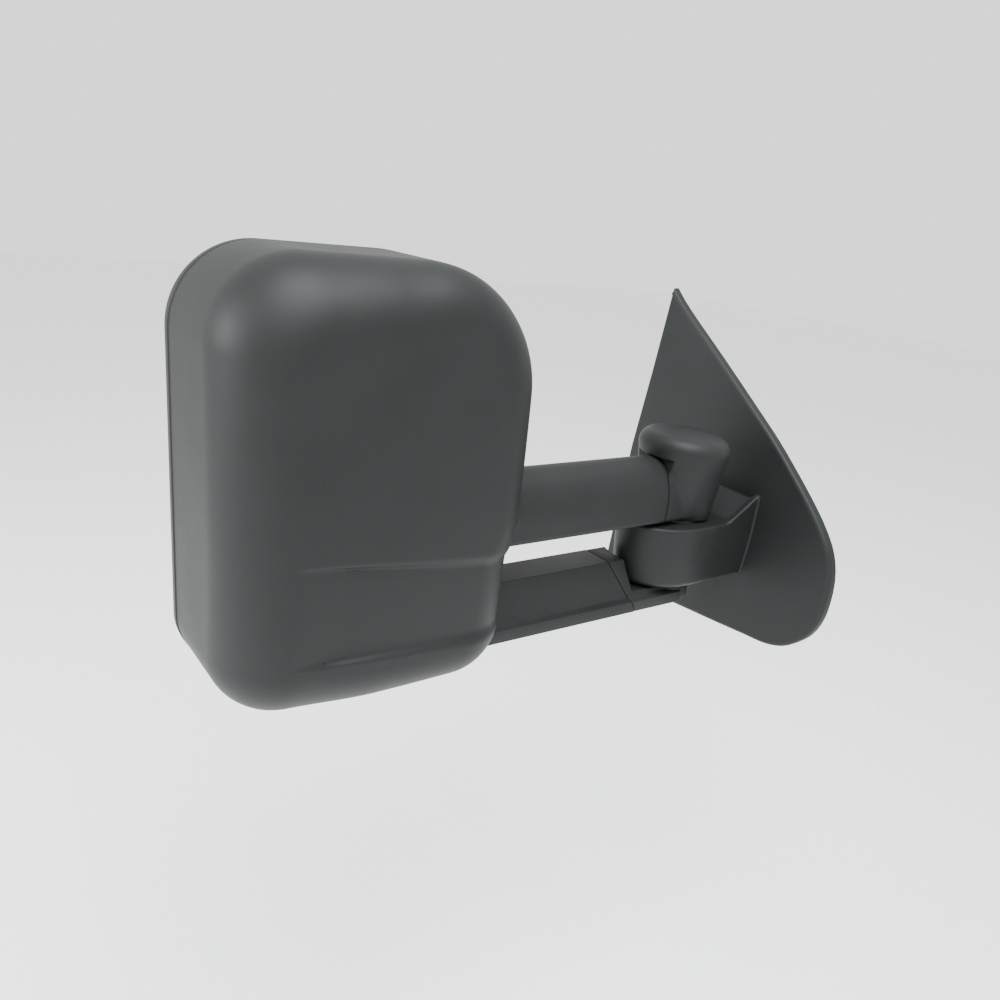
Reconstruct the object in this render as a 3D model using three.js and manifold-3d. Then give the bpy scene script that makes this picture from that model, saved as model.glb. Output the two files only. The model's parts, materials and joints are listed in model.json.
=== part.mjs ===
// Telescoping towing mirror for a truck's right-hand door.
// Frame, mm: X = 0 is the mounting face on the door, the head lies towards -X,
// +Y is rearward (the glass side) and +Z is up. Y = 0 is the plane through the fold axis.
import * as THREE from 'three';
import * as BufferGeometryUtils from 'three/addons/utils/BufferGeometryUtils.js';
import Module from 'manifold-3d';

const wasm = await Module();
wasm.setup();

const GAP = 0.3;
const WALL = 3;

// sail
const SAIL_OUT = -12;
const SAIL_BACK = -3;
const BRACKET_OUT = SAIL_BACK + GAP;
// fold axis and foot
const PIVOT_X = -87;
const FOOT_NOSE = 58;
const FOOT_HALF = 42;
const FOOT_BOTTOM = -8;
const FOOT_TOP = 53;
const FOOT_TOP_AT_SAIL = 77;
const SWEEP_START = -52;
const TUBE_R = 11;
const TUBE_BORE = 7.5;
const TUBE_FIT = 0.4;
const LUG_BOTTOM = 58;
const LUG_TOP = 90;
const LUG_R = 29;
const LOWER_LUG_R = 28;
const LOWER_LUG_TOP = -10;
// arms
const SLEEVE_Y = 27;
const SLEEVE_Z0 = 57;
const SLEEVE_Z1 = 114;
const SLEEVE_MID = 72;
const SLEEVE_LOW_R = 4;
const UPPER_SEAM = -122;
const LOWER_SEAM = -158;
const ARM_END = -404;
const INNER = { y0: -14, y1: 14, z0: 63, z1: 98 };
const SHOE_X = -295;
const SHOE_TOP = INNER.z1 + 6;
const RAIL = { y0: -8, y1: 15.5, z0: -21, z1: 10 };
// head
const HEAD_REAR = 62;
const BEZEL_FRONT = 52;
const HEAD_INBOARD = -300;
const CARRIER_Y0 = 16.5;
const CARRIER_Y1 = 19.5;
const GLASS_Y = 50;
const BACKING_Y = 44;
const GLASS_T = 3;
const BALL_Y = 36;
const MAIN_C = { x: -412, z: 153 };
const SPOT_C = { x: -412, z: 2 };

// ---------------------------------------------------------------- helpers

// A closed geometry from points and triangles, turned the right way out.
function solid(points, triangles) {
  let volume = 0;
  for (const [a, b, c] of triangles) {
    const cross = new THREE.Vector3().crossVectors(points[b], points[c]);
    volume += points[a].dot(cross);
  }
  const geometry = new THREE.BufferGeometry();
  const flat = points.flatMap((p) => [p.x, p.y, p.z]);
  const order = volume > 0 ? triangles : triangles.map(([a, b, c]) => [a, c, b]);
  geometry.setAttribute('position', new THREE.Float32BufferAttribute(flat, 3));
  geometry.setIndex(order.flat());
  return geometry;
}

// Joins outlines with the same number of points into a body with flat ends.
function loft(sections) {
  const n = sections[0].length;
  const points = sections.flat();
  const triangles = [];
  for (let s = 0; s + 1 < sections.length; s += 1) {
    for (let i = 0; i < n; i += 1) {
      const a = s * n + i;
      const b = s * n + ((i + 1) % n);
      triangles.push([a, b, b + n], [a, b + n, a + n]);
    }
  }
  for (const [s, flip] of [[0, true], [sections.length - 1, false]]) {
    const middle = new THREE.Vector3();
    for (const p of sections[s]) middle.addScaledVector(p, 1 / n);
    points.push(middle);
    const m = points.length - 1;
    for (let i = 0; i < n; i += 1) {
      const a = s * n + i;
      const b = s * n + ((i + 1) % n);
      triangles.push(flip ? [b, a, m] : [a, b, m]);
    }
  }
  return solid(points, triangles);
}

// A straight body between two values of one axis. The outline holds the other two, in order.
function prism(outline, axis, from, to) {
  const shape = new THREE.Shape(outline.map(([a, b]) => new THREE.Vector2(a, b)));
  const settings = { depth: to - from, bevelEnabled: false, steps: 1, curveSegments: 1 };
  const geometry = new THREE.ExtrudeGeometry(shape, settings);
  const place = geometry.attributes.position;
  for (let i = 0; i < place.count; i += 1) {
    const a = place.getX(i);
    const b = place.getY(i);
    const c = place.getZ(i) + from;
    if (axis === 'x') place.setXYZ(i, c, a, b);
    if (axis === 'y') place.setXYZ(i, a, c, b);
    if (axis === 'z') place.setXYZ(i, a, b, c);
  }
  geometry.deleteAttribute('normal');
  geometry.deleteAttribute('uv');
  const joined = BufferGeometryUtils.mergeVertices(geometry, 1e-4);
  if (axis === 'y') joined.setIndex([...joined.index.array].reverse());
  return joined;
}

// A rectangle with its own radius at each corner: low-high, high-high, high-low, low-low.
function rounded(a0, a1, b0, b1, radii, steps = 6) {
  const list = Array.isArray(radii) ? radii : [radii, radii, radii, radii];
  const corners = [
    [a0, b1, list[0], Math.PI],
    [a1, b1, list[1], Math.PI / 2],
    [a1, b0, list[2], 0],
    [a0, b0, list[3], -Math.PI / 2],
  ];
  const outline = [];
  for (const [a, b, r, start] of corners) {
    const ca = a + (a === a0 ? r : -r);
    const cb = b + (b === b0 ? r : -r);
    for (let i = 0; i <= steps; i += 1) {
      const t = start - (i / steps) * (Math.PI / 2);
      outline.push([ca + r * Math.cos(t), cb + r * Math.sin(t)]);
    }
  }
  return outline.reverse();
}

// A straight bar between two corners.
function block(x0, x1, y0, y1, z0, z1) {
  return prism([[x0, y0], [x1, y0], [x1, y1], [x0, y1]], 'z', z0, z1);
}

// A round body from [radius, height] pairs; it stands along an axis through a point.
function turned(profile, axis, x, y, z, sides = 24) {
  const line = profile.map(([r, h]) => new THREE.Vector2(r, h));
  const geometry = new THREE.LatheGeometry(line, sides);
  if (axis === 'z') geometry.rotateX(Math.PI / 2);
  if (axis === 'x') geometry.rotateZ(-Math.PI / 2);
  geometry.translate(x, y, z);
  return tidy(geometry);
}

function disc(radius, from, to, sides = 24) {
  return turned([[0, from], [radius, from], [radius, to], [0, to]], 'z', PIVOT_X, 0, 0, sides);
}

// Points joined, collapsed triangles dropped, right way out.
function tidy(geometry) {
  geometry.deleteAttribute('normal');
  geometry.deleteAttribute('uv');
  const joined = BufferGeometryUtils.mergeVertices(geometry, 1e-3);
  const place = joined.attributes.position;
  const points = [];
  for (let i = 0; i < place.count; i += 1) {
    points.push(new THREE.Vector3().fromBufferAttribute(place, i));
  }
  const triangles = [];
  const index = joined.index.array;
  for (let i = 0; i < index.length; i += 3) {
    const [a, b, c] = [index[i], index[i + 1], index[i + 2]];
    if (a !== b && b !== c && c !== a) triangles.push([a, b, c]);
  }
  return solid(points, triangles);
}

function toManifold(geometry) {
  const ready = tidy(geometry.clone());
  return new wasm.Manifold(new wasm.Mesh({
    numProp: 3,
    vertProperties: new Float32Array(ready.attributes.position.array),
    triVerts: new Uint32Array(ready.index.array),
  }));
}

function fromManifold(body) {
  const mesh = body.getMesh();
  const geometry = new THREE.BufferGeometry();
  const place = new THREE.Float32BufferAttribute(mesh.vertProperties, 3);
  geometry.setAttribute('position', place);
  geometry.setIndex([...mesh.triVerts]);
  return geometry;
}

function join(...list) {
  return fromManifold(list.map(toManifold).reduce((a, b) => a.add(b)));
}

function cut(body, ...tools) {
  return fromManifold(tools.map(toManifold).reduce((a, b) => a.subtract(b), toManifold(body)));
}

function common(a, b) {
  return fromManifold(toManifold(a).intersect(toManifold(b)));
}

// ---------------------------------------------------------------- materials

function material(colour, roughness, metalness) {
  return new THREE.MeshStandardMaterial({ color: colour, roughness, metalness });
}

const PLASTIC = material(0x3f4443, 0.65, 0);
const STRUCTURAL = material(0x26282a, 0.55, 0);
const RUBBER = material(0x17181a, 0.9, 0);
const CAST = material(0x9a9da0, 0.5, 0.8);
const STEEL = material(0xb4b7ba, 0.35, 1);
const GLASS = material(0xaab4bc, 0.05, 1);

const model = new THREE.Group();
model.name = 'towing_mirror';

function add(name, geometry, look) {
  const open = geometry.index ? geometry.toNonIndexed() : geometry;
  open.computeVertexNormals();
  const mesh = new THREE.Mesh(open, look);
  mesh.name = name;
  model.add(mesh);
}

// ---------------------------------------------------------------- base

// Sail outline in Y and Z: straight rear edge, sloping front edge, rounded front lobe.
function sailOutline(inset) {
  const corners = [
    [124, 252], [101, 233], [44, 193], [-6, 157], [-40, 132], [-71, 106], [-91, 88],
    [-107, 72], [-121, 54], [-129, 35], [-132, 14], [-131, -10], [-125, -29], [-115, -43],
    [-100, -56], [-80, -63.5], [-52, -67], [-20, -71], [42, -78], [110, -86], [150, -90],
    [158, -84], [159, -76], [147, 75], [135, 161],
  ];
  if (inset === 0) return corners;
  const n = corners.length;
  return corners.map(([y, z], i) => {
    const before = corners[(i + n - 1) % n];
    const after = corners[(i + 1) % n];
    const first = new THREE.Vector2(y - before[0], z - before[1]).normalize();
    const second = new THREE.Vector2(after[0] - y, after[1] - z).normalize();
    const way = new THREE.Vector2(-first.y - second.y, first.x + second.x).normalize();
    const spread = Math.max(0.3, way.dot(new THREE.Vector2(-second.y, second.x)));
    return [y + (way.x * inset) / spread, z + (way.y * inset) / spread];
  });
}

// Foot outline in X and Y: a round nose about the fold axis, narrowing to the sail.
function footOutline(inset, backX) {
  const steps = 12;
  const outline = [[backX, -FOOT_HALF + 4 + inset]];
  for (let i = 0; i <= steps; i += 1) {
    const t = -Math.PI / 2 - (i / steps) * Math.PI;
    const x = PIVOT_X + (FOOT_NOSE - inset) * Math.cos(t);
    outline.push([x, (FOOT_HALF - inset) * Math.sin(t)]);
  }
  outline.push([backX, FOOT_HALF - 4 - inset]);
  return outline.reverse();
}

// The side view of everything above the foot's top, which sweeps up to the sail.
function aboveFoot() {
  const curve = [[-160, FOOT_TOP]];
  for (let i = 0; i <= 5; i += 1) {
    const t = i / 5;
    const x = SWEEP_START + t * (SAIL_OUT - SWEEP_START);
    curve.push([x, FOOT_TOP + (FOOT_TOP_AT_SAIL - FOOT_TOP) * t ** 1.2]);
  }
  curve.push([SAIL_OUT, 90], [-160, 90]);
  return prism(curve, 'y', -60, 60);
}

const studs = [[96, 52], [70, -48], [-62, 4]];
const bracketOutline = rounded(-84, 118, -60, 84, 14, 4);

function sailCover() {
  const plate = prism(sailOutline(0), 'x', SAIL_OUT + 2, SAIL_BACK);
  const face = loft([
    sailOutline(0).map(([y, z]) => new THREE.Vector3(SAIL_OUT + 2, y, z)),
    sailOutline(2.5).map(([y, z]) => new THREE.Vector3(SAIL_OUT, y, z)),
  ]);
  const foot = prism(footOutline(0, SAIL_OUT + 4), 'z', FOOT_BOTTOM, FOOT_TOP_AT_SAIL);
  const shaped = cut(foot, aboveFoot());
  const whole = join(plate, face, shaped);
  const hollow = prism(footOutline(5, SAIL_BACK + 1), 'z', FOOT_BOTTOM + 4, FOOT_TOP - 4);
  const pockets = studs.map(([y, z]) => (
    turned([[0, -7], [7.6, -7], [7.6, 0], [0, 0]], 'x', 0, y, z, 16)
  ));
  return cut(whole, hollow, disc(TUBE_R + 5, -20, 70), ...pockets);
}

function baseBracket() {
  const plate = prism(bracketOutline, 'x', BRACKET_OUT, 0);
  const arm = block(PIVOT_X, BRACKET_OUT + 1, -24, 24, 0, 42);
  const boss = disc(26, 0, 42);
  const holes = studs.map(([y, z]) => (
    turned([[0, -5], [4 + GAP, -5], [4 + GAP, 3], [0, 3]], 'x', 0, y, z, 16)
  ));
  const pocket = block(-58, -12, -16, 16, 6, 60);
  return cut(join(plate, arm, boss), disc(TUBE_R + TUBE_FIT, -5, 60), pocket, ...holes);
}

function sailGasket() {
  const pad = prism(sailOutline(3), 'x', BRACKET_OUT, 0);
  const window = prism(rounded(-84 - 1, 119, -61, 85, 14, 4), 'x', -4, 1);
  return cut(pad, window);
}

function stud(y, z) {
  return turned([[0, -6.5], [7, -6.5], [7, SAIL_BACK], [4, SAIL_BACK], [4, 27], [3, 28], [0, 28]],
    'x', 0, y, z, 16);
}

function nut(y, z) {
  const bore = 4 + GAP;
  const profile = [[bore, 14], [9, 14], [9, 16], [7.5, 16.5], [7.5, 22], [bore, 22], [bore, 14]];
  return turned(profile, 'x', 0, y, z, 12);
}

function pivotTube() {
  const profile = [
    [TUBE_BORE, -26.5], [16, -26.5], [16, -22.3], [TUBE_R, -22.3],
    [TUBE_R, 126], [TUBE_BORE, 126], [TUBE_BORE, -26.5],
  ];
  return turned(profile, 'z', PIVOT_X, 0, 0);
}

function pivotRing(inner, outer, from, to) {
  const profile = [[inner, from], [outer, from], [outer, to], [inner, to], [inner, from]];
  return turned(profile, 'z', PIVOT_X, 0, 0);
}

function foldSpring() {
  const turns = 3.5;
  const wire = 2.2;
  const radius = 17;
  const low = LUG_TOP + GAP + wire;
  const high = 119.7 - wire;
  const sections = [];
  const count = 36;
  for (let i = 0; i <= count; i += 1) {
    const t = i / count;
    const angle = t * turns * 2 * Math.PI;
    const ring = [];
    for (let k = 0; k < 6; k += 1) {
      const w = (k / 6) * 2 * Math.PI;
      const r = radius + wire * Math.cos(w);
      const z = low + (high - low) * t + wire * Math.sin(w);
      ring.push(new THREE.Vector3(PIVOT_X + r * Math.cos(angle), r * Math.sin(angle), z));
    }
    sections.push(ring);
  }
  return loft(sections);
}

// ---------------------------------------------------------------- arms

// Sleeve outline in Y and Z: an elliptical top on a flat underside with crisp lower edges.
function sleeveOutline(inset) {
  const half = SLEEVE_Y - inset;
  const rise = SLEEVE_Z1 - SLEEVE_MID - inset;
  const low = Math.max(SLEEVE_LOW_R - inset, 1);
  const floor = SLEEVE_Z0 + inset;
  const steps = 14;
  const outline = [[-half, floor + low], [-half + low, floor], [half - low, floor], [half, floor + low]];
  for (let i = 0; i <= steps; i += 1) {
    const t = (i / steps) * Math.PI;
    outline.push([half * Math.cos(t), SLEEVE_MID + rise * Math.sin(t)]);
  }
  return outline;
}

// Lower arm outline in Y and Z: flat top, sloping front, lip along the bottom.
function lowerOutline(grow) {
  return [
    [-30 - grow, -27 - grow], [25 + grow, -27 - grow], [25 + grow, 16 + grow],
    [-8 - grow, 17 + grow], [-24 - grow, -14 + grow], [-30 - grow, -16 + grow],
  ];
}

function pocketOutline(bar, grow) {
  return rounded(bar.y0 - grow, bar.y1 + grow, bar.z0 - grow, bar.z1 + grow, 2, 2);
}

function upperArm() {
  const lug = disc(LUG_R, LUG_BOTTOM, LUG_TOP);
  const outer = prism(pocketOutline(INNER, 0), 'x', ARM_END, PIVOT_X);
  const hollow = prism(pocketOutline(INNER, -WALL), 'x', ARM_END + 8, PIVOT_X - 34);
  const wireHole = turned([[0, ARM_END - 2], [6, ARM_END - 2], [6, ARM_END + 12], [0, ARM_END + 12]],
    'x', 0, 0, 84, 12);
  const springRoom = disc(22, LUG_TOP, 130);
  const bore = disc(TUBE_R + TUBE_FIT, 50, 130);
  return cut(join(lug, outer), hollow, wireHole, springRoom, bore, tieHole(72));
}

function knob(inset) {
  const profile = [
    [0, SLEEVE_Z0], [34.5, SLEEVE_Z0], [36, 78], [39.5, 104], [41, 114], [40.5, 123],
    [36.5, 130], [26, 134.5], [0, 136.5],
  ];
  return profile.map(([r, z], i) => {
    const last = profile.length - 1;
    const lower = i > 5 ? inset : 0;
    return [i === 0 || i === last ? 0 : r - inset, i < 2 ? z - 2 * inset : z - lower];
  });
}

function pivotCap() {
  const collar = prism(sleeveOutline(0), 'x', UPPER_SEAM + GAP, PIVOT_X);
  const outer = join(turned(knob(0), 'z', PIVOT_X, 0, 0, 32), collar);
  const room = turned(knob(2.7), 'z', PIVOT_X, 0, 0, 32);
  const throat = prism(sleeveOutline(2.7), 'x', UPPER_SEAM - 5, PIVOT_X);
  const sleeveRoom = block(-150, UPPER_SEAM + GAP, -60, 60, 40, SLEEVE_Z1 + 1);
  return cut(outer, join(room, throat), sleeveRoom);
}

function lowerArm() {
  const lug = disc(LOWER_LUG_R, -27, LOWER_LUG_TOP, 32);
  const arm = prism(lowerOutline(0), 'x', LOWER_SEAM + GAP, PIVOT_X);
  const sweep = turned([[0, LOWER_LUG_TOP], [FOOT_NOSE + 3, LOWER_LUG_TOP], [FOOT_NOSE + 3, 40],
    [0, 40]], 'z', PIVOT_X, 0, 0, 32);
  const nearEnd = block(PIVOT_X + 2, PIVOT_X + 60, -40, 40, -35, LOWER_LUG_TOP);
  const beam = prism(pocketOutline(RAIL, 0), 'x', ARM_END, LOWER_SEAM + 4);
  const bore = disc(TUBE_R + TUBE_FIT, -40, 20);
  const counterbore = disc(17, -31, -22);
  const shaped = cut(arm, sweep, nearEnd);
  return cut(join(lug, shaped, beam), bore, counterbore, tieHole(-6));
}

function tieHole(z) {
  return turned([[0, ARM_END - 1], [2.5 + GAP, ARM_END - 1], [2.5 + GAP, ARM_END + 6.5],
    [0, ARM_END + 6.5]], 'x', 0, 6, z, 12);
}

function armTie() {
  const plate = prism(rounded(-13, 15.5, -20, 97, 4, 2), 'x', ARM_END - 6, ARM_END - GAP);
  const holes = [72, -6].map((z) => (
    turned([[0, -20], [2.5 + GAP, -20], [2.5 + GAP, 20], [0, 20]], 'x', ARM_END, 6, z, 12)
  ));
  const wire = turned([[0, -20], [8, -20], [8, 20], [0, 20]], 'x', ARM_END, 0, 84, 12);
  return cut(plate, ...holes, wire);
}

function tieScrew(z) {
  const profile = [[0, -3], [5, -3], [5, 0], [2.5, 0], [2.5, 12], [0, 12]];
  return turned(profile, 'x', ARM_END - 6 - GAP, 6, z, 12);
}

// ---------------------------------------------------------------- head

// One slice of the head's skin at a given depth, drawn in by an edge inset.
function headSection(y, draw, inset) {
  const x0 = -527 + draw + inset + Math.max(0, (HEAD_REAR - y) * 0.1);
  const x1 = -296 - draw - inset - Math.max(0, (HEAD_REAR - y) * 0.05);
  const z0 = -42 + draw * 1.1 + inset;
  const z1 = 272 - draw - inset;
  const radii = [60, 84, 46, 50].map((r) => r - inset * 0.6 - draw * 0.25);
  return rounded(x0, x1, z0, z1, radii, 6).map(([x, z]) => new THREE.Vector3(x, y, z));
}

function headBody(inset, rear) {
  const front = [[-66, 62], [-64, 38], [-60, 22], [-54, 11], [-44, 4], [-30, 0.5]];
  const sections = front.map(([y, draw]) => headSection(y + inset, draw, inset));
  sections.push(headSection(rear, 0, inset));
  return loft(sections);
}

const posts = [[-490, 2], [-490, 222], [-352, 222], [-432, 36]];

function backCover() {
  const shell = headBody(0, BEZEL_FRONT);
  const room = headBody(WALL, BEZEL_FRONT + 5);
  const sleeveHole = prism(sleeveOutline(-GAP), 'x', HEAD_INBOARD - 20, HEAD_INBOARD + 20);
  const lowerHole = prism(lowerOutline(GAP), 'x', HEAD_INBOARD - 25, HEAD_INBOARD + 20);
  const bosses = posts.map(([x, z]) => (
    turned([[0, -65], [7, -65], [7, CARRIER_Y0 - GAP], [0, CARRIER_Y0 - GAP]], 'y', x, 0, z, 12)
  ));
  const pilots = posts.map(([x, z]) => (
    turned([[0, 2], [2 + GAP, 2], [2 + GAP, 30], [0, 30]], 'y', x, 0, z, 12)
  ));
  const hollow = cut(shell, room);
  const inside = common(join(...bosses), headBody(1, BEZEL_FRONT));
  return cut(join(hollow, inside), sleeveHole, lowerHole, ...pilots);
}

function upperSleeve() {
  const body = prism(sleeveOutline(0), 'x', HEAD_INBOARD - 12, UPPER_SEAM - GAP);
  const throat = prism(sleeveOutline(WALL), 'x', HEAD_INBOARD - 20, UPPER_SEAM + 5);
  const glassSwing = block(HEAD_INBOARD - 20, HEAD_INBOARD - 4, SLEEVE_Y - WALL - 1, 40, 40, 130);
  return cut(body, throat, glassSwing);
}

function lowerSleeve() {
  const body = prism(lowerOutline(0), 'x', HEAD_INBOARD - 20, LOWER_SEAM - GAP);
  const groove = prism(pocketOutline(RAIL, TUBE_FIT), 'x', HEAD_INBOARD - 40, LOWER_SEAM + 5);
  return cut(body, groove);
}

function bezel() {
  const slice = (y, draw, inset) => headSection(y, draw, inset);
  const ring = loft([slice(BEZEL_FRONT + GAP, 0, 0), slice(58, 0, 0), slice(HEAD_REAR, 2.5, 0)]);
  const main = loft([slice(40, 0, 8), slice(70, 0, 8)]);
  const window = common(main, block(-560, -280, 30, 80, 42, 300));
  const lower = common(main, block(-560, -280, 30, 80, -60, 34));
  return cut(ring, window, lower);
}

function carrier() {
  const spine = block(-502, -342, CARRIER_Y0, CARRIER_Y1, -14, 236);
  const windows = [block(-476, -430, 10, 25, 176, 210), block(-400, -366, 10, 25, 176, 210)];
  const notch = block(-416, -330, 10, 25, -20, 36);
  const holes = posts.map(([x, z]) => (
    turned([[0, 2], [2 + GAP, 2], [2 + GAP, 30], [0, 30]], 'y', x, 0, z, 12)
  ));
  const seats = [MAIN_C, SPOT_C].map(({ x, z }) => (
    turned([[0, 10], [4 + GAP, 10], [4 + GAP, 25], [0, 25]], 'y', x, 0, z, 12)
  ));
  const strap = block(-430, -394, CARRIER_Y0, CARRIER_Y1, -14, 36);
  return cut(join(cut(spine, ...windows, notch), strap), ...holes, ...seats);
}

function bush(bar, outline, from, to) {
  const hole = prism(pocketOutline(bar, TUBE_FIT), 'x', from - 2, to + 2);
  return cut(prism(outline, 'x', from, to), hole);
}

function frictionShoe() {
  return block(SHOE_X - 8, SHOE_X + 8, -5, 5, INNER.z1 + GAP, SHOE_TOP);
}

// A bowed leaf: its middle presses on the shoe and its ends bear on the sleeve's roof.
function frictionSpring() {
  const bow = [[-10, 4], [-4, 1], [0, 0], [4, 1], [10, 4]];
  const leaf = (lift) => bow.map(([x, z]) => [SHOE_X + x, SHOE_TOP + GAP + z + lift]);
  return prism([...leaf(0), ...leaf(1.2).reverse()], 'y', -5, 5);
}

// A screw along Y: its head is behind the carrier and its shank runs forward into the post.
function carrierScrew(x, z) {
  const top = CARRIER_Y1 + GAP;
  return turned([[0, top - 14], [2, top - 14], [2, top], [4.5, top], [4.5, top + 3], [0, top + 3]],
    'y', x, 0, z, 12);
}

// A stud that is held in the carrier and carries the gimbal on its round head.
function ballStud({ x, z }) {
  const seat = CARRIER_Y1 + GAP;
  const profile = [[0, CARRIER_Y0], [4, CARRIER_Y0], [4, seat], [6, seat], [6, seat + 3],
    [4, seat + 3], [4, BALL_Y - 5], [5, BALL_Y - 3], [5.6, BALL_Y], [5, BALL_Y + 3],
    [0, BALL_Y + 4.5]];
  return turned(profile, 'y', x, 0, z, 12);
}

function gimbal({ x, z }, outer) {
  const profile = [[outer - 6, BALL_Y - 3], [outer, BALL_Y - 3], [outer, BALL_Y + 3],
    [outer - 6, BALL_Y + 3], [outer - 6, BALL_Y - 3]];
  return turned(profile, 'y', x, 0, z, 16);
}

// Pane outlines in X and Z: low and high limits of both, then the corner radii.
const PANES = {
  main: [-515, -309, 46, 260, [50, 74, 10, 10]],
  spot: [-513, -310, -30, 30, [8, 8, 34, 40]],
};

function paneOutline(kind, inset) {
  const [x0, x1, z0, z1, radii] = PANES[kind];
  const tighter = radii.map((r) => r - inset);
  return rounded(x0 + inset, x1 - inset, z0 + inset, z1 - inset, tighter, 5);
}

function backing(kind, { x, z }, outer) {
  const plate = prism(paneOutline(kind, 1.5), 'y', BACKING_Y, GLASS_Y - GAP);
  const rim = turned([[outer, BALL_Y - 1], [outer + 3, BALL_Y - 1], [outer + 3, BACKING_Y + 1],
    [outer, BACKING_Y + 1], [outer, BALL_Y - 1]], 'y', x, 0, z, 16);
  return join(plate, rim);
}

function pane(kind) {
  return prism(paneOutline(kind, 0), 'y', GLASS_Y, GLASS_Y + GLASS_T);
}

// ---------------------------------------------------------------- assembly

add('sail_cover', sailCover(), PLASTIC);
add('base_bracket', baseBracket(), CAST);
add('sail_gasket', sailGasket(), RUBBER);
studs.forEach(([y, z], i) => add(`stud_${i + 1}`, stud(y, z), STEEL));
studs.forEach(([y, z], i) => add(`nut_${i + 1}`, nut(y, z), STEEL));
add('pivot_tube', pivotTube(), STEEL);
add('detent_ring', pivotRing(TUBE_R + 1, 26, FOOT_TOP + GAP, LUG_BOTTOM - 1), STEEL);
add('fold_spring', foldSpring(), STEEL);
add('spring_retainer', pivotRing(TUBE_R + GAP, 21, 120, 125), STEEL);

add('upper_arm', upperArm(), STRUCTURAL);
add('pivot_cap', pivotCap(), PLASTIC);
add('lower_arm', lowerArm(), PLASTIC);
add('arm_tie', armTie(), CAST);
add('tie_screw_upper', tieScrew(72), STEEL);
add('tie_screw_lower', tieScrew(-6), STEEL);

add('back_cover', backCover(), PLASTIC);
add('upper_sleeve', upperSleeve(), PLASTIC);
add('lower_sleeve', lowerSleeve(), PLASTIC);
add('bezel', bezel(), PLASTIC);
add('carrier', carrier(), STRUCTURAL);
add('upper_bush_inboard', bush(INNER, sleeveOutline(WALL + GAP), -136, -126), RUBBER);
add('upper_bush_outboard', bush(INNER, sleeveOutline(WALL + GAP), -316, -306), RUBBER);
add('friction_shoe', frictionShoe(), RUBBER);
add('friction_spring', frictionSpring(), STEEL);
posts.forEach(([x, z], i) => add(`carrier_screw_${i + 1}`, carrierScrew(x, z), STEEL));
add('main_ball_stud', ballStud(MAIN_C), STEEL);
add('spot_ball_stud', ballStud(SPOT_C), STEEL);

add('main_gimbal', gimbal(MAIN_C, 18), STRUCTURAL);
add('main_backing', backing('main', MAIN_C, 19), STRUCTURAL);
add('main_glass', pane('main'), GLASS);
add('spot_gimbal', gimbal(SPOT_C, 14), STRUCTURAL);
add('spot_backing', backing('spot', SPOT_C, 15), STRUCTURAL);
add('spot_glass', pane('spot'), GLASS);

export default model;
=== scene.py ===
import json
import math

import bmesh
import bpy
import numpy as np
from mathutils import Matrix, Vector


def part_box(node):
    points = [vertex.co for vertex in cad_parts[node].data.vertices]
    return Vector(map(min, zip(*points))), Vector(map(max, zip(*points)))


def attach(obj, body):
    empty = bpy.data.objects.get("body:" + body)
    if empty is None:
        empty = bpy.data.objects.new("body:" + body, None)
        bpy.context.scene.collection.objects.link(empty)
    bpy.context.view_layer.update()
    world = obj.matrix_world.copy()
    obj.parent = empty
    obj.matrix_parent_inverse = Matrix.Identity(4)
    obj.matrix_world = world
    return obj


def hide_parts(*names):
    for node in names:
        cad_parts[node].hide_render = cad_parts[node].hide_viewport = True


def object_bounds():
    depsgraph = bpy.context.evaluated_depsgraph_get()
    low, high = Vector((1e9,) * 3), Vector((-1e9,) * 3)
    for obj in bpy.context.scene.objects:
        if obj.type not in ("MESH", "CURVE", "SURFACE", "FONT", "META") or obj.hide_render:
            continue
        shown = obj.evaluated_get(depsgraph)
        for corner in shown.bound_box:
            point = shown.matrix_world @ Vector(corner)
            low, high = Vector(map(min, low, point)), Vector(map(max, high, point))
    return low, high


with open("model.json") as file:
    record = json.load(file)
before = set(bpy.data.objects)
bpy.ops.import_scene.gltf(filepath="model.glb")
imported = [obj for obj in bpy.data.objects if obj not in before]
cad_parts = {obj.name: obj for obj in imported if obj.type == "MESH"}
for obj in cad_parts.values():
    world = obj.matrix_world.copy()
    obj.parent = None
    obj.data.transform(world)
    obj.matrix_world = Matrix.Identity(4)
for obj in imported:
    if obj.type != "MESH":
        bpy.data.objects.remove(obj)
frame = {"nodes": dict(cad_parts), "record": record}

# Looks for the telescoping towing mirror. X runs inboard to the door, Y rearward, Z up.
FIRST_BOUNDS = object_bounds()
NODES = frame["nodes"]

MM = 0.001
SLOTS = {s["node"]: s["material_slot"] for s in frame["record"]["subparts"]}


def limits(node):
    lo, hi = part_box(node)
    return [c / MM for c in lo], [c / MM for c in hi]


# ---- sizes in millimetres, taken from the frame where it has them
PANE_Z0 = limits("main_glass")[0][2]
SPOT_Z1 = limits("spot_glass")[1][2]
(HEAD_X0, BEZEL_Y0, HEAD_Z0), (HEAD_X1, HEAD_REAR, HEAD_Z1) = limits("bezel")
(_, HEAD_FRONT, _), (_, COVER_REAR, _) = limits("back_cover")
_, (SLEEVE_END, _, _) = limits("upper_sleeve")
(FOOT_X0, _, _), (SAIL_BACK, _, _) = limits("sail_cover")
(CAP_X0, _, CAP_Z0), (CAP_X1, CAP_HALF, CAP_Z1) = limits("pivot_cap")
TUBE_LO, TUBE_HI = limits("pivot_tube")
ARM_BAR = ((-404.0, -14.0, 63.0), (-87.0, 14.0, 98.0))
PIVOT_X = (TUBE_LO[0] + TUBE_HI[0]) / 2
HEAD_GROW = 2.5  # the skins stand this far outboard of the plain bezel
HEAD_X0 -= HEAD_GROW
SAIL_OUT = -12.0
SLEEVE_HALF = 27.0
SLEEVE_FLOOR = 57.0
SLEEVE_MID = 72.0
SLEEVE_TOP = 114.0
FOOT_BOTTOM = -8.0
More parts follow.
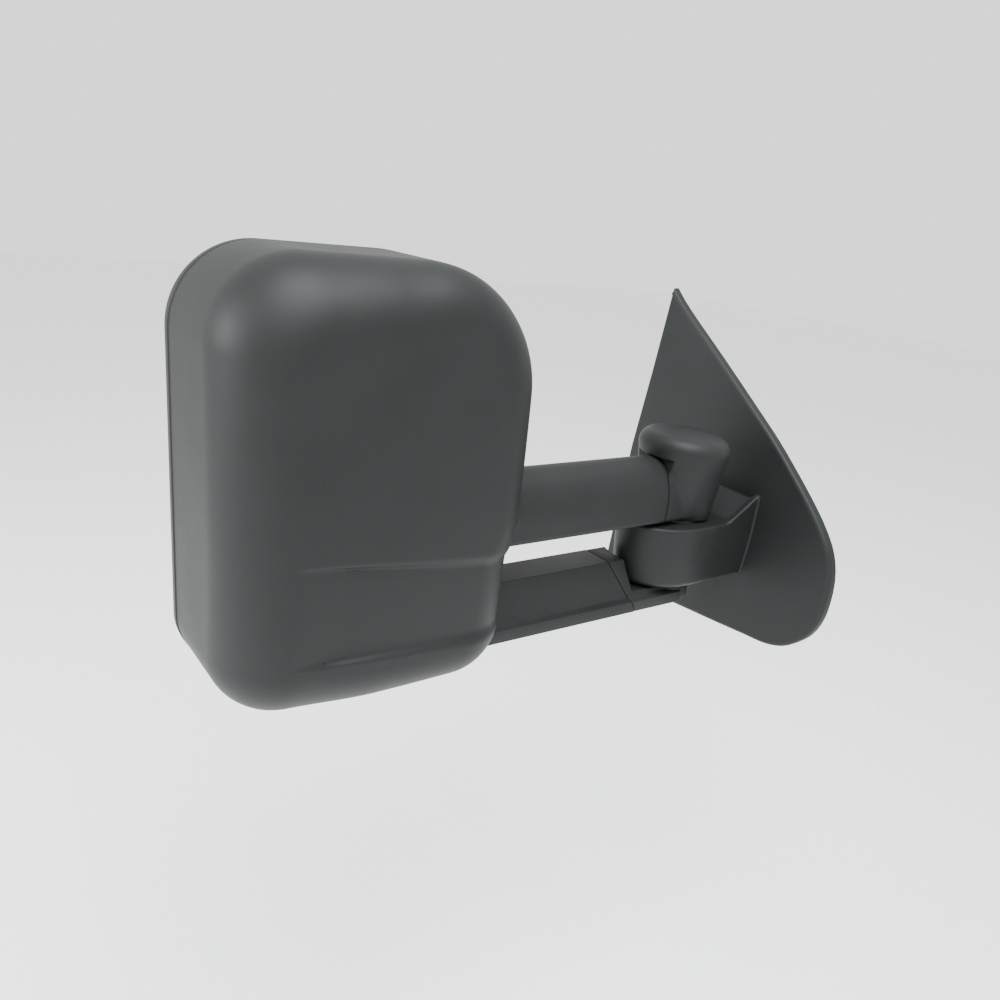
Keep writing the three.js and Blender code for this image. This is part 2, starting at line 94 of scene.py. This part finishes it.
FOOT_TOP = 53.0
FOOT_TOP_AT_SAIL = 77.0
FOOT_HALF = 42.0
FOOT_NOSE = PIVOT_X - FOOT_X0
SKIN = 3.0
HEAD_RADII = (60.0, 86.0, 46.0, 45.0)
OUTBOARD_DRAFT = 0.07
INBOARD_DRAFT = 0.055
FRONT_EDGE_R = 38.0
FRONT_DOME = 0.00030
INBOARD_EDGE_CUT = 11.0
OUTBOARD_EDGE_ADD = 8.0
SWEEP_START = -52.0
BAND_DEPTH = 3.6
LUG_REACH = 24.0
LUG_SCALE = 0.78
SCOOP_WAY = (0.8, 0.6)
CAP_WALL = 2.6
LOWER_SEAM = -158.0
SEAM_TOP_SHIFT, SEAM_LEAN = -8.0, 0.5
LOWER_HOLE = ((-30.4, -27.4), (25.4, -27.4), (25.4, 16.4), (-8.2, 17.4), (-24.3, -13.8), (-30.4, -15.8))
LIP_INSET, LIP_WALL, LIP_REACH = 4.2, 2.2, 4.0
BAND_FALL = 0.077
CELL = 2.0


# ---------------------------------------------------------------- fields

def soft_min(a, b, k):
    h = np.maximum(k - np.abs(a - b), 0) / k
    return np.minimum(a, b) - h * h * k * 0.25


def soft_max(a, b, k):
    return -soft_min(-a, -b, k)


def round_both(a, b, r):
    """Inside both a and b, with the edge between them rounded to r."""
    a, b = a + r, b + r
    return np.minimum(np.maximum(a, b), 0) + np.hypot(np.maximum(a, 0), np.maximum(b, 0)) - r


def ramp(t):
    t = np.clip(t, 0, 1)
    return t * t * (3 - 2 * t)


def rounded_box(u, v, u0, u1, v0, v1, radii):
    """Distance to a rectangle whose corners have their own radii: low-high, high-high, high-low, low-low."""
    cu, cv = (u0 + u1) / 2, (v0 + v1) / 2
    left, above = u < cu, v > cv
    r = np.where(left, np.where(above, radii[0], radii[3]), np.where(above, radii[1], radii[2]))
    du = np.abs(u - cu) - (u1 - u0) / 2 + r
    dv = np.abs(v - cv) - (v1 - v0) / 2 + r
    return np.minimum(np.maximum(du, dv), 0) + np.hypot(np.maximum(du, 0), np.maximum(dv, 0)) - r


def sleeve_field(y, z, inset=0.0):
    """Distance to the sleeve's outline: elliptical top, flat underside."""
    half, rise = SLEEVE_HALF - inset, SLEEVE_TOP - SLEEVE_MID - inset
    up = np.maximum(z - SLEEVE_MID, 0)
    oval = (np.hypot(y / half, up / rise) - 1) * half
    return round_both(oval, SLEEVE_FLOOR + inset - z, 4.0)


def head_field(x, y, z):
    """The head's outer skin without its sleeve; open towards the glass."""
    depth = HEAD_REAR - y
    x0 = HEAD_X0 + OUTBOARD_DRAFT * depth
    x1 = HEAD_X1 - INBOARD_DRAFT * depth
    sides = rounded_box(x, z, x0, x1, HEAD_Z0, HEAD_Z1, HEAD_RADII)
    middle_x, middle_z = (HEAD_X0 + HEAD_X1) / 2, (HEAD_Z0 + HEAD_Z1) / 2
    dome = FRONT_DOME * ((x - middle_x) ** 2 + (z - middle_z) ** 2)
    along = x - (HEAD_X0 + 40)
    across = ramp(along / 50)
    soft = 2.2 + 9.0 * ramp(along / 170)
    upper = 85.0 - BAND_FALL * along
    lower = 10.0 - BAND_FALL * along
    band = ramp((upper - z) / soft) * ramp((z - lower) / soft) * across
    front = HEAD_FRONT + dome + BAND_DEPTH * band - y
    high_inboard = ramp((x - middle_x) / 60) * ramp((z - SLEEVE_FLOOR) / 40)
    outboard = ramp((middle_x - x) / 70)
    edge_r = FRONT_EDGE_R - INBOARD_EDGE_CUT * high_inboard + OUTBOARD_EDGE_ADD * outboard
    return round_both(sides, front, edge_r)


def cover_field(x, y, z):
    """Head and upper sleeve in one skin; the sleeve's lower half flows into the head's front."""
    sleeve = np.maximum(sleeve_field(y, z), HEAD_X1 - 30 - x)
    reach = 5 + 34 * ramp((z - SLEEVE_FLOOR - 8) / 22) * ramp((SLEEVE_MID + 26 - z) / 34)
    return soft_min(head_field(x, y, z), sleeve, reach)


def foot_field(x, y, z):
    """Bowl of the foot, swept up into the sail along its top."""
    narrow = 1 - 0.09 * ramp((x - PIVOT_X) / (SAIL_OUT - PIVOT_X))
    swell = 0.91 + 0.09 * np.sin(np.clip((z - FOOT_BOTTOM) / 60, 0, 1) * math.pi / 2)
    ahead = np.minimum(x - PIVOT_X, 0) / (FOOT_NOSE * swell)
    wall = (np.hypot(ahead, y / (FOOT_HALF * narrow * swell)) - 1) * FOOT_HALF
    sweep = np.clip((x - SWEEP_START) / (SAIL_OUT - SWEEP_START), 0, 1) ** 1.1
    top = FOOT_TOP + (FOOT_TOP_AT_SAIL - FOOT_TOP) * sweep
    rim = np.hypot(np.minimum(x - PIVOT_X, 0) / FOOT_NOSE, y / (FOOT_HALF * narrow))
    dish = 7.0 * ramp((1 - rim) / 0.30) * ramp((x - PIVOT_X - 34) / 14)
    body = round_both(wall, z - top + dish, 2.5)
    body = round_both(body, FOOT_BOTTOM - z, 6.0)
    slab = SAIL_OUT + 0.35 - x
    return np.maximum(soft_min(body, slab, 3.5), x - SAIL_OUT - 3)


def cap_solid(x, y, z, inset):
    """Knob over the fold axis, joined to the end of the arm."""
    r = np.hypot(x - PIVOT_X, y)
    facing = -(SCOOP_WAY[0] * (x - PIVOT_X) + SCOOP_WAY[1] * y) / np.maximum(r, 1)
    scoop = 8.0 * ramp(facing / 0.75) * np.clip(1 - (z - SLEEVE_FLOOR) / 50, 0, 1)
    side = r - (34.5 - inset - scoop + (z - SLEEVE_FLOOR) * 0.125)
    top = z - (CAP_Z1 - inset) + 0.0028 * r * r + 0.05 * (x - PIVOT_X)
    knob = round_both(side, top, 12.0)
    collar = np.maximum(sleeve_field(y, z, inset), x - PIVOT_X)
    return soft_min(knob, collar, 2.5)


def cap_field(x, y, z):
    floor = SLEEVE_FLOOR - 2.2 * ramp((x - PIVOT_X + 28) / 10)
    outer = np.maximum(cap_solid(x, y, z, 0.0), floor - z)
    clear = np.maximum(x - SLEEVE_END - 0.6, z - SLEEVE_TOP - 1.0)
    outer = np.maximum(outer, -clear)
    inner = np.maximum(cap_solid(x, y, z, CAP_WALL), CAP_WALL - clear)
    (_, ay0, az0), (_, ay1, az1) = ARM_BAR
    bar = np.maximum(np.maximum(ay0 - 0.4 - y, y - ay1 - 0.4), np.maximum(az0 - 7 - z, z - az1 - 0.4))
    inner = np.minimum(inner, np.maximum(bar, x - PIVOT_X))
    return np.maximum(outer, -inner)


def bezel_field(x, y, z):
    edge = rounded_box(x, z, HEAD_X0, HEAD_X1, HEAD_Z0, HEAD_Z1, HEAD_RADII)
    ring = round_both(edge, -(edge + 8), 2.0)
    bar = np.maximum(np.abs(z - (SPOT_Z1 + PANE_Z0) / 2) - 4, edge + 4)
    profile = soft_min(ring, bar, 2.5)
    frame_body = round_both(round_both(profile, y - HEAD_REAR, 2.4), BEZEL_Y0 - y, 0.6)
    lip = np.maximum(edge + LIP_INSET, -(edge + LIP_INSET + LIP_WALL))
    lip = np.maximum(lip, np.maximum(BEZEL_Y0 - LIP_REACH - y, y - BEZEL_Y0 - 2))
    return np.minimum(frame_body, lip)


# ---------------------------------------------------------------- meshes

def net(field, lo, hi, step):
    """Vertices and quads of the surface where a field is zero."""
    axes = [np.arange(a, b + step, step) for a, b in zip(lo, hi)]
    inside = field(*np.meshgrid(*axes, indexing="ij")) < 0
    shape = np.array(inside.shape)
    count = np.zeros(shape - 1, int)
    for corner in np.ndindex(2, 2, 2):
        count += inside[tuple(slice(c, c + n - 1) for c, n in zip(corner, shape))]
    active = (count > 0) & (count < 8)
    ids = np.full(active.shape, -1)
    ids[active] = np.arange(active.sum())
    points = np.array(lo) + (np.argwhere(active) + 0.5) * step
    quads = []
    for axis in range(3):
        first = np.take(inside, range(shape[axis] - 1), axis)
        second = np.take(inside, range(1, shape[axis]), axis)
        edges = np.argwhere(first != second)
        u, v = (axis + 1) % 3, (axis + 2) % 3
        keep = (edges[:, u] > 0) & (edges[:, v] > 0)
        keep &= (edges[:, u] < shape[u] - 1) & (edges[:, v] < shape[v] - 1)
        edges = edges[keep]
        eu, ev = np.eye(3, dtype=int)[u], np.eye(3, dtype=int)[v]
        around = [edges, edges - eu, edges - eu - ev, edges - ev]
        ring = np.stack([ids[tuple(e.T)] for e in around], 1)
        outward = first[tuple(edges.T)]
        quads.append(np.where(outward[:, None], ring, ring[:, ::-1]))
    for _ in range(4):
        value = field(*points.T)
        slope = np.stack([
            field(*(points + d).T) - field(*(points - d).T) for d in np.eye(3) * 0.2
        ], 1) / 0.4
        move = (value / np.maximum((slope ** 2).sum(1), 0.2))[:, None] * slope
        points = points - np.clip(move, -step / 2, step / 2)
    return points, np.concatenate(quads)


def mesh_object(name, points, faces):
    mesh = bpy.data.meshes.new(name)
    mesh.from_pydata((np.asarray(points) * MM).tolist(), [], [tuple(map(int, f)) for f in faces])
    mesh.validate()
    obj = bpy.data.objects.new(name, mesh)
    bpy.context.scene.collection.objects.link(obj)
    mesh.shade_smooth()
    return obj


def skin_object(name, field, lo, hi, step):
    points, quads = net(field, lo, hi, step)
    return mesh_object(name, points, quads)


def flatten_rim(obj, axis, value, reach):
    """Moves the open edge nearest a plane onto that plane."""
    bm = bmesh.new()
    bm.from_mesh(obj.data)
    for v in bm.verts:
        if v.is_boundary and abs(v.co[axis] - value * MM) < reach * MM:
            v.co[axis] = value * MM
    bm.to_mesh(obj.data)
    bm.free()


def shell(obj, thickness):
    solid = obj.modifiers.new("wall", "SOLIDIFY")
    solid.thickness = thickness * MM
    solid.offset = -1


def copy_piece(node, name, bevel):
    """A bevelled copy of a simple CAD node."""
    obj = bpy.data.objects.new(name, NODES[node].data.copy())
    bpy.context.scene.collection.objects.link(obj)
    bm = bmesh.new()
    bm.from_mesh(obj.data)
    bmesh.ops.remove_doubles(bm, verts=bm.verts, dist=0.02 * MM)
    bmesh.ops.dissolve_limit(bm, angle_limit=math.radians(1), verts=bm.verts, edges=bm.edges)
    bm.to_mesh(obj.data)
    bm.free()
    obj.data.shade_smooth()
    soften = obj.modifiers.new("edge", "BEVEL")
    soften.width = bevel * MM
    soften.segments = 3
    soften.limit_method = "ANGLE"
    soften.angle_limit = math.radians(35)
    soften.harden_normals = True
    return obj


def rings_object(name, rings, close_ends=True):
    """Joins outlines with equal point counts; both ends get a cap."""
    n = len(rings[0])
    points = [p for ring in rings for p in ring]
    faces = []
    for s in range(len(rings) - 1):
        for i in range(n):
            j = (i + 1) % n
            faces.append((s * n + i, s * n + j, (s + 1) * n + j, (s + 1) * n + i))
    if close_ends:
        faces.append(tuple(reversed(range(n))))
        faces.append(tuple(range(len(points) - n, len(points))))
    obj = mesh_object(name, points, faces)
    bm = bmesh.new()
    bm.from_mesh(obj.data)
    bmesh.ops.recalc_face_normals(bm, faces=bm.faces)
    bm.to_mesh(obj.data)
    bm.free()
    return obj


def crisp(obj, degrees):
    """Keeps edges sharper than an angle as edges in the shading."""
    bm = bmesh.new()
    bm.from_mesh(obj.data)
    for e in bm.edges:
        e.smooth = len(e.link_faces) == 2 and e.calc_face_angle(0) < math.radians(degrees)
    bm.to_mesh(obj.data)
    bm.free()


def outline(x0, x1, z0, z1, radii, steps):
    corners = ((x0, z1, radii[0], 180, 1, -1), (x1, z1, radii[1], 90, -1, -1),
               (x1, z0, radii[2], 0, -1, 1), (x0, z0, radii[3], -90, 1, 1))
    found = []
    for x, z, r, start, sx, sz in corners:
        for i in range(steps + 1):
            t = math.radians(start - 90 * i / steps)
            found.append((x + sx * r + r * math.cos(t), z + sz * r + r * math.sin(t)))
    return found


# ---------------------------------------------------------------- materials

def tree(name):
    material = bpy.data.materials.new(name)
    material.use_nodes = True
    nodes, links = material.node_tree.nodes, material.node_tree.links
    return material, nodes, links, nodes["Principled BSDF"]


def noise(nodes, links, scale, detail):
    place = nodes.new("ShaderNodeTexCoord")
    field = nodes.new("ShaderNodeTexNoise")
    field.inputs["Scale"].default_value = scale
    field.inputs["Detail"].default_value = detail
    links.new(place.outputs["Object"], field.inputs["Vector"])
    return field


def vary(nodes, links, source, low, high, target):
    spread = nodes.new("ShaderNodeMapRange")
    spread.inputs["From Min"].default_value = 0.3
    spread.inputs["From Max"].default_value = 0.7
    spread.inputs["To Min"].default_value = low
    spread.inputs["To Max"].default_value = high
    links.new(source.outputs["Fac"], spread.inputs["Value"])
    links.new(spread.outputs["Result"], target)


def tint(nodes, links, source, dark, light, target):
    blend = nodes.new("ShaderNodeValToRGB")
    blend.color_ramp.elements[0].position = 0.3
    blend.color_ramp.elements[1].position = 0.7
    blend.color_ramp.elements[0].color = (*dark, 1)
    blend.color_ramp.elements[1].color = (*light, 1)
    links.new(source.outputs["Fac"], blend.inputs["Fac"])
    links.new(blend.outputs["Color"], target)


def grain(nodes, links, scale, depth, strength, target):
    field = noise(nodes, links, scale, 3)
    bump = nodes.new("ShaderNodeBump")
    bump.inputs["Strength"].default_value = strength
    bump.inputs["Distance"].default_value = depth * MM
    links.new(field.outputs["Fac"], bump.inputs["Height"])
    links.new(bump.outputs["Normal"], target)


def finish_of(name, dark, light, rough, metal=0.0, grain_scale=1400.0, grain_depth=0.12,
              grain_strength=0.5, specular=0.5):
    material, nodes, links, shader = tree(name)
    wide = noise(nodes, links, 22.0, 4)
    tint(nodes, links, wide, dark, light, shader.inputs["Base Color"])
    vary(nodes, links, wide, rough[0], rough[1], shader.inputs["Roughness"])
    grain(nodes, links, grain_scale, grain_depth, grain_strength, shader.inputs["Normal"])
    shader.inputs["Metallic"].default_value = metal
    shader.inputs["Specular IOR Level"].default_value = specular
    return material


MATERIALS = {
    "cover_plastic": finish_of("cover_plastic", (0.0080, 0.0095, 0.0091), (0.0100, 0.0115, 0.0111),
                               (0.50, 0.56), specular=0.22, grain_scale=1100.0, grain_depth=0.10),
    "inner_plastic": finish_of("inner_plastic", (0.016, 0.017, 0.018), (0.024, 0.025, 0.026),
                               (0.42, 0.52), grain_scale=600.0),
    "rubber": finish_of("rubber", (0.010, 0.010, 0.011), (0.018, 0.018, 0.019), (0.80, 0.92),
                        grain_scale=900.0, grain_depth=0.2),
    "cast_metal": finish_of("cast_metal", (0.36, 0.37, 0.38), (0.46, 0.47, 0.48), (0.42, 0.56),
                            metal=1.0, grain_scale=700.0, grain_depth=0.15),
    "steel": finish_of("steel", (0.52, 0.52, 0.50), (0.62, 0.62, 0.60), (0.24, 0.36),
                       metal=1.0, grain_scale=500.0, grain_depth=0.02, grain_strength=0.2),
    # Near-black steel used only on the detent ring: painted shade for the gap between the foot and the cap.
    "painted_shade_steel": finish_of("painted_shade_steel", (0.030, 0.031, 0.033), (0.045, 0.046, 0.048), (0.45, 0.60),
                            metal=0.6, grain_scale=500.0, grain_depth=0.03),
    "mirror": finish_of("mirror", (0.84, 0.86, 0.88), (0.87, 0.89, 0.90), (0.015, 0.03),
                        metal=1.0, grain_scale=30.0, grain_depth=0.002, grain_strength=0.02),
}


def place(obj, body, slot_name, *nodes):
    obj.data.materials.clear()
    obj.data.materials.append(MATERIALS[slot_name])
    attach(obj, body)
    if nodes:
        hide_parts(*nodes)
    return obj


# ---------------------------------------------------------------- pieces

def prism_x(name, shape, x0, x1):
    """A straight bar along X over an outline in Y and Z."""
    return rings_object(name, [[(x, y, z) for y, z in shape] for x in (x0, x1)])


def carve(obj, cutter):
    """Cuts one body out of another and bakes the result into its mesh."""
    step = obj.modifiers.new("opening", "BOOLEAN")
    step.operation = "DIFFERENCE"
    step.solver = "EXACT"
    step.object = cutter
    bpy.context.view_layer.update()
    seen = obj.evaluated_get(bpy.context.evaluated_depsgraph_get())
    baked = bpy.data.meshes.new_from_object(seen)
    obj.modifiers.clear()
    obj.data = baked
    bpy.data.objects.remove(cutter)


def build_cover():
    lo = [HEAD_X0 - 6, HEAD_FRONT - 6, HEAD_Z0 - 6]
    hi = [SLEEVE_END, COVER_REAR, HEAD_Z1 + 6]
    steps = [round((b - a) / CELL) for a, b in zip(lo, hi)]
    lo[0] = hi[0] - steps[0] * CELL
    lo[1] = hi[1] - steps[1] * CELL
    obj = skin_object("cover_skin", cover_field, lo, [h - 0.01 for h in hi], CELL)
    flatten_rim(obj, 1, COVER_REAR, 1.6 * CELL)
    flatten_rim(obj, 0, SLEEVE_END, 1.6 * CELL)
    shell(obj, SKIN)
    cutter = prism_x("lower_opening", LOWER_HOLE, HEAD_X1 - 45, HEAD_X1 + 30)
    carve(obj, cutter)
    place(obj, "head", "cover_plastic", "back_cover", "upper_sleeve")


def build_foot():
    lo = [FOOT_X0 - 6, -FOOT_HALF - 16, FOOT_BOTTOM - 14]
    hi = [SAIL_OUT + 8, FOOT_HALF + 16, FOOT_TOP_AT_SAIL + 14]
    obj = skin_object("foot_skin", foot_field, lo, hi, CELL * 0.7)
    place(obj, "base", "cover_plastic", "sail_cover")


def build_cap():
    lo = [CAP_X0 - 5, -CAP_HALF - 6, CAP_Z0 - 4]
    hi = [CAP_X1 + 6, CAP_HALF + 6, CAP_Z1 + 5]
    obj = skin_object("cap_skin", cap_field, lo, hi, CELL * 0.6)
    place(obj, "arms", "cover_plastic", "pivot_cap")


def build_bezel():
    lo = [HEAD_X0 - 4, BEZEL_Y0 - LIP_REACH - 3, HEAD_Z0 - 4]
    hi = [HEAD_X1 + 4, HEAD_REAR + 3, HEAD_Z1 + 4]
    obj = skin_object("bezel_frame", bezel_field, lo, hi, CELL * 0.7)
    place(obj, "head", "cover_plastic", "bezel")


SAIL_FRONT = ((124, 252), (101, 233), (44, 193), (-6, 157), (-40, 132), (-71, 106), (-91, 88),
              (-107, 72), (-121, 54), (-129, 35), (-132, 14), (-131, -10), (-125, -29),
              (-115, -43), (-100, -56), (-80, -63.5), (-52, -67), (-20, -71), (42, -78), (110, -86))
SAIL_REAR = ((150, -90), (158, -84), (159, -76), (147, 75), (135, 161))


def smooth_through(points, steps):
    """A curve through the points, even in the gaps between them."""
    out = []
    for i in range(len(points) - 1):
        p0, p1, p2 = points[max(i - 1, 0)], points[i], points[i + 1]
        p3 = points[min(i + 2, len(points) - 1)]
        for k in range(steps):
            t = k / steps
            out.append(tuple(
                0.5 * (2 * b + (c - a) * t + (2 * a - 5 * b + 4 * c - d) * t * t
                       + (3 * b - a - 3 * c + d) * t ** 3)
                for a, b, c, d in zip(p0, p1, p2, p3)))
    out.append(points[-1])
    return out


def drawn_in(points, amount):
    n = len(points)
    out = []
    for i, (y, z) in enumerate(points):
        before, after = Vector(points[i - 1]), Vector(points[(i + 1) % n])
        here = Vector((y, z))
        one, two = (here - before).normalized(), (after - here).normalized()
        way = Vector((-(one + two).y, (one + two).x)).normalized()
        spread = max(0.35, way.dot(Vector((-two.y, two.x))))
        out.append(tuple(here + way * amount / spread))
    return out


def build_sail():
    edge = smooth_through(SAIL_FRONT, 5) + list(SAIL_REAR)
    profile = ((SAIL_BACK, 0.0), (SAIL_BACK - 0.1, 0.0), (SAIL_OUT + 3.2, 0.0), (SAIL_OUT + 2.2, 0.25),
               (SAIL_OUT + 1.1, 1.0), (SAIL_OUT + 0.4, 2.0), (SAIL_OUT + 0.06, 3.2), (SAIL_OUT, 4.6))
    rings = [[(x, y, z) for y, z in drawn_in(edge, inset)] for x, inset in profile]
    obj = rings_object("sail_plate", rings)
    crisp(obj, 50)
    place(obj, "base", "cover_plastic", "sail_cover")


def build_pane(name, node, radii, dome):
    (x0, y0, z0), (x1, y1, z1) = limits(node)
    edge = outline(x0, x1, z0, z1, radii, 14)
    cx, cz = (x0 + x1) / 2, (z0 + z1) / 2
    rings = [[(x, y0, z) for x, z in edge]]
    for depth, keep in ((0.8, 1.0), (0.3, 0.998), (0.0, 0.993), (0.0, 0.9), (0.0, 0.6), (0.0, 0.3)):
        bulge = dome * (1 - keep ** 2)
        rings.append([(cx + (x - cx) * keep, y1 - dome - depth + bulge, cz + (z - cz) * keep)
                      for x, z in edge])
    obj = rings_object(name, rings)
    crisp(obj, 40)
    return obj


def build_glass():
    main = build_pane("main_pane", "main_glass", (50, 74, 10, 10), 0.0)
    place(main, "main_mirror", "mirror", "main_glass")
    spot = build_pane("spot_pane", "spot_glass", (8, 8, 34, 40), 1.2)
    place(spot, "spot_mirror", "mirror", "spot_glass")


def turned_object(name, profile, axis, centre, sides):
    rings = []
    for r, h in profile:
        ring = []
        for i in range(sides):
            t = 2 * math.pi * i / sides
            local = [0.0, 0.0, 0.0]
            local[axis] = h
            local[(axis + 1) % 3] = r * math.cos(t)
            local[(axis + 2) % 3] = r * math.sin(t)
            ring.append(tuple(a + b for a, b in zip(local, centre)))
        rings.append(ring)
    return rings_object(name, rings)


def build_studs():
    for i in (1, 2, 3):
        lo, hi = limits(f"stud_{i}")
        middle = (0.0, (lo[1] + hi[1]) / 2, (lo[2] + hi[2]) / 2)
        profile = [(0.5, lo[0]), (6.4, lo[0]), (7, lo[0] + 0.6), (7, -3.2), (6.8, -3), (4, -3), (4, 3)]
        turns = 18
        for k in range(turns):
            x = 3.4 + k * 1.25
            profile += [(3.95, x), (3.45, x + 0.6)]
        profile += [(3.0, hi[0] - 0.4), (0.5, hi[0])]
        stud = turned_object(f"threaded_stud_{i}", profile, 0, middle, 28)
        crisp(stud, 60)
        place(stud, "base", "steel", f"stud_{i}")


def build_nuts():
    for i in (1, 2, 3):
        lo, hi = limits(f"nut_{i}")
        cy, cz = (lo[1] + hi[1]) / 2, (lo[2] + hi[2]) / 2
        flange, hexed = 9.0, 6.9

        def ring(x, r, corner):
            out = []
            for k in range(48):
                t = 2 * math.pi * k / 48
                flat = math.cos(math.pi / 6) / math.cos((t % (math.pi / 3)) - math.pi / 6)
                out.append((x, cy + r * (1 + corner * (flat - 1)) * math.cos(t),
                            cz + r * (1 + corner * (flat - 1)) * math.sin(t)))
            return out

        outer = [ring(lo[0], flange - 0.4, 0), ring(lo[0] + 0.4, flange, 0), ring(lo[0] + 1.2, flange, 0),
                 ring(lo[0] + 2.2, hexed + 0.9, 1), ring(hi[0] - 0.6, hexed + 0.9, 1),
                 ring(hi[0], hexed - 0.3, 0.3)]
        bore = [ring(hi[0], 4.4, 0), ring(lo[0], 4.4, 0)]
        rings = outer + bore + [outer[0]]
        nut = rings_object(f"flange_nut_{i}", rings, close_ends=False)
        bm = bmesh.new()
        bm.from_mesh(nut.data)
        bmesh.ops.remove_doubles(bm, verts=bm.verts, dist=0.001 * MM)
        bmesh.ops.recalc_face_normals(bm, faces=bm.faces)
        bm.to_mesh(nut.data)
        bm.free()
        crisp(nut, 35)
        place(nut, "base", "steel", f"nut_{i}")


def slant_seam(obj):
    """Leans the seam between the lower sleeve and its arm: rearward at the top, inboard at the lip."""
    for v in obj.data.vertices:
        if abs(v.co.x / MM - LOWER_SEAM) < 1.0:
            v.co.x += (SEAM_TOP_SHIFT + SEAM_LEAN * (16.0 - v.co.z / MM)) * MM


def trim_lug(obj):
    """Draws the arm's lug in about the fold axis, clear of the cap's scoop."""
    for v in obj.data.vertices:
        away = Vector((v.co.x - PIVOT_X * MM, v.co.y))
        if v.co.x > (PIVOT_X - 30) * MM and away.length > LUG_REACH * MM:
            v.co.x = PIVOT_X * MM + away.x * LUG_SCALE
            v.co.y = away.y * LUG_SCALE


def build_simple():
    for node, body, bevel in (("lower_sleeve", "head", 1.2), ("lower_arm", "arms", 1.2),
                              ("upper_arm", "arms", 0.8), ("arm_tie", "arms", 0.8),
                              ("base_bracket", "base", 0.8), ("carrier", "head", 0.6),
                              ("main_backing", "main_mirror", 0.8), ("spot_backing", "spot_mirror", 0.8)):
        skin = copy_piece(node, f"{node}_skin", bevel)
        if node in ("lower_sleeve", "lower_arm"):
            slant_seam(skin)
        if node == "upper_arm":
            trim_lug(skin)
        place(skin, body, SLOTS[node], node)


def dress_nodes():
    for name, obj in NODES.items():
        obj.data.materials.clear()
        # The detent ring takes the near-black steel in place of its own slot's material: painted shade in
        # the gap between the foot and the cap.
        obj.data.materials.append(MATERIALS["painted_shade_steel" if name == "detent_ring" else SLOTS[name]])


# ---------------------------------------------------------------- stage

CAMERA_AT = (-641.8, -498.7, 302.9)
YAW, PITCH, ROLL = 35.25, 19.4, -6.5
LENS = 28.8


def build_camera():
    data = bpy.data.cameras.new("camera")
    data.lens = LENS
    data.sensor_width = 36.0
    data.clip_start, data.clip_end = 0.01, 50.0
    obj = bpy.data.objects.new("camera", data)
    bpy.context.scene.collection.objects.link(obj)
    a, p, r = (math.radians(v) for v in (YAW, PITCH, ROLL))
    ahead = Vector((math.sin(a) * math.cos(p), math.cos(a) * math.cos(p), -math.sin(p)))
    right = Vector((math.cos(a), -math.sin(a), 0))
    up = right.cross(ahead)
    right, up = right * math.cos(r) - up * math.sin(r), up * math.cos(r) + right * math.sin(r)
    turn = Matrix((right, up, -ahead)).transposed().to_4x4()
    obj.matrix_world = Matrix.Translation(Vector(CAMERA_AT) * MM) @ turn
    bpy.context.scene.camera = obj


def area_light(name, at, towards, size, power, colour):
    data = bpy.data.lights.new(name, "AREA")
    data.shape = "DISK"
    data.size = size
    data.energy = power
    data.color = colour
    obj = bpy.data.objects.new(name, data)
    bpy.context.scene.collection.objects.link(obj)
    way = (Vector(towards) - Vector(at)).to_track_quat("-Z", "Y")
    obj.matrix_world = Matrix.Translation(Vector(at)) @ way.to_matrix().to_4x4()


def build_stage():
    floor_z = FIRST_BOUNDS[0].z - 0.45
    floor = mesh_object("floor", [(-9000, -9000, floor_z / MM), (9000, -9000, floor_z / MM),
                                  (9000, 9000, floor_z / MM), (-9000, 9000, floor_z / MM)], [(0, 1, 2, 3)])
    material, nodes, links, shader = tree("floor_paint")
    wide = noise(nodes, links, 0.4, 2)
    tint(nodes, links, wide, (0.93, 0.93, 0.93), (0.95, 0.95, 0.95), shader.inputs["Base Color"])
    vary(nodes, links, wide, 0.9, 1.0, shader.inputs["Roughness"])
    floor.data.materials.append(material)
    world = bpy.data.worlds.new("studio")
    world.use_nodes = True
    world.node_tree.nodes["Background"].inputs["Color"].default_value = (1, 1, 1, 1)
    world.node_tree.nodes["Background"].inputs["Strength"].default_value = 1.6
    bpy.context.scene.world = world
    target = (-0.35, 0.0, 0.1)
    area_light("key", (-0.55, -0.75, 1.9), target, 1.6, 105, (0.95, 0.99, 1.0))
    area_light("side", (-2.2, 0.3, 0.6), target, 0.9, 48, (0.97, 0.99, 1.0))


dress_nodes()
build_cover()
build_foot()
build_cap()
build_bezel()
build_sail()
build_glass()
build_studs()
build_nuts()
build_simple()
build_stage()
build_camera()
